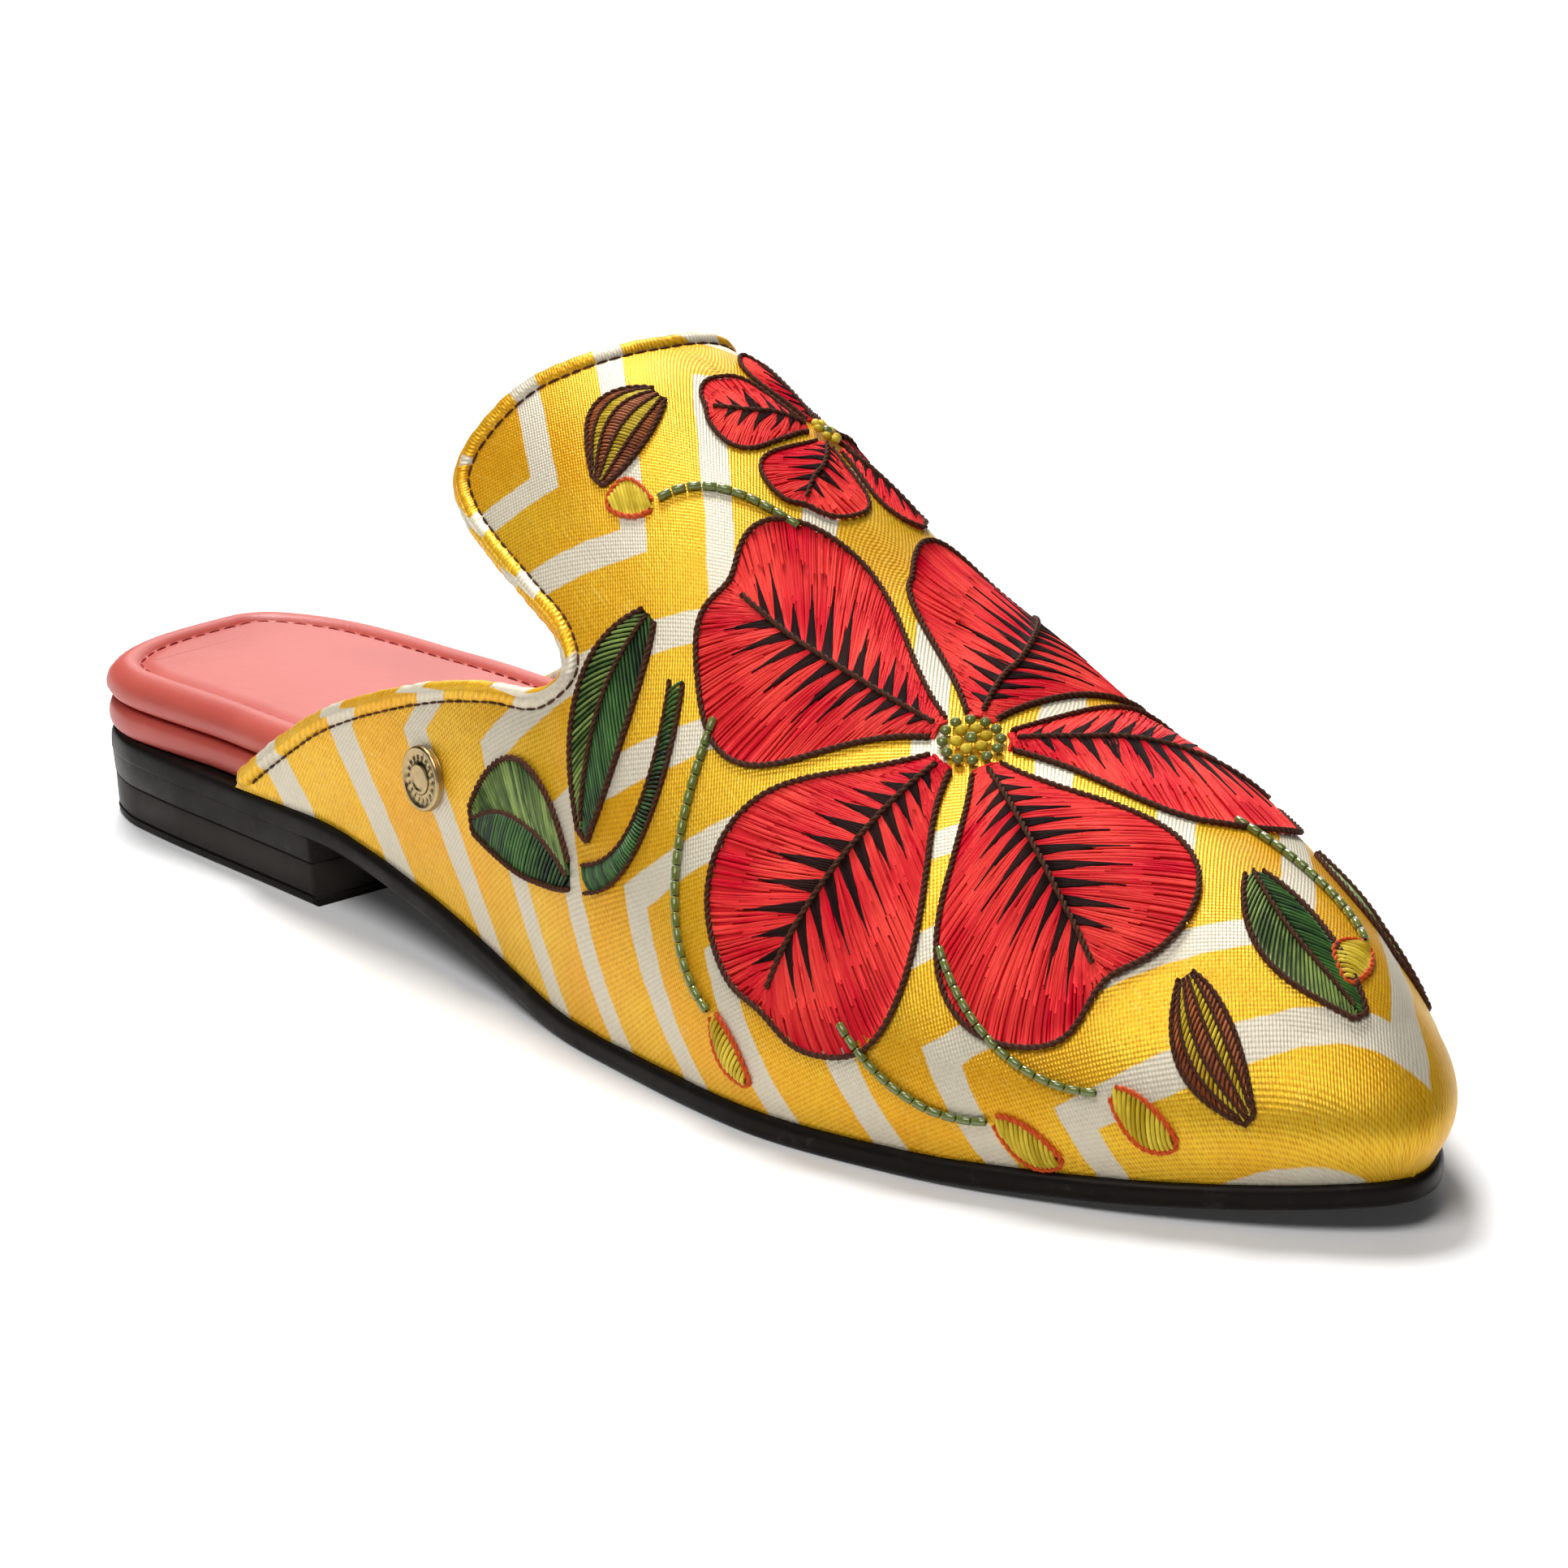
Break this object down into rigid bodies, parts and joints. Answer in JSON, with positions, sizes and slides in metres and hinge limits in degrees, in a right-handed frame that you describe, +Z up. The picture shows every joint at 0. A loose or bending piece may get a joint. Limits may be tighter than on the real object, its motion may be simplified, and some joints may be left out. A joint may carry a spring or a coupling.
{
  "type": "flat mule",
  "caption": "Right flat mule: backless slip-on shoe with almond toe, high tongue, padded embroidery on satin, leather insole and low stacked heel",
  "frame": {"origin": "centre of the bounding box in plan, at floor height", "axes": "+X to the toe, +Y to the wearer's left (medial side of this right shoe), +Z up"},
  "size_m": [0.2472, 0.0794, 0.0836],
  "materials": {
    "satin": "golden yellow satin with cream zigzag stripes",
    "rubber": "satin black sole edge",
    "lift": "slightly greyer heel lift",
    "coral": "smooth coral leather, semi matte",
    "brass": "brushed pale brass",
    "petal_red": "glossy red satin stitch",
    "leaf_green": "green satin stitch",
    "bud_rust": "rust and yellow satin stitch",
    "bead_olive": "olive knots and beads"
  },
  "bodies": {
    "root": {"outsole": "rubber", "heel_lift_upper": "rubber", "heel_lift_lower": "lift", "heel_top_piece": "rubber", "midsole": "coral", "insole": "coral", "upper": "satin", "topline_binding": "satin", "rivet": "brass", "bloom_petal_1": "petal_red", "bloom_petal_2": "petal_red", "bloom_petal_3": "petal_red", "bloom_petal_4": "petal_red", "bloom_petal_5": "petal_red", "bloom_core": "bead_olive", "blossom_petal_1": "petal_red", "blossom_petal_2": "petal_red", "blossom_petal_3": "petal_red", "blossom_petal_4": "petal_red", "blossom_petal_5": "petal_red", "blossom_core": "bead_olive", "leaf_notch": "leaf_green", "leaf_quarter": "leaf_green", "leaf_toe": "leaf_green", "leaf_medial": "leaf_green", "leaf_inner_toe": "leaf_green", "stem_lateral": "leaf_green", "bud_tongue": "bud_rust", "bud_toe": "bud_rust", "bud_medial": "bud_rust"}
  },
  "joints": []
}
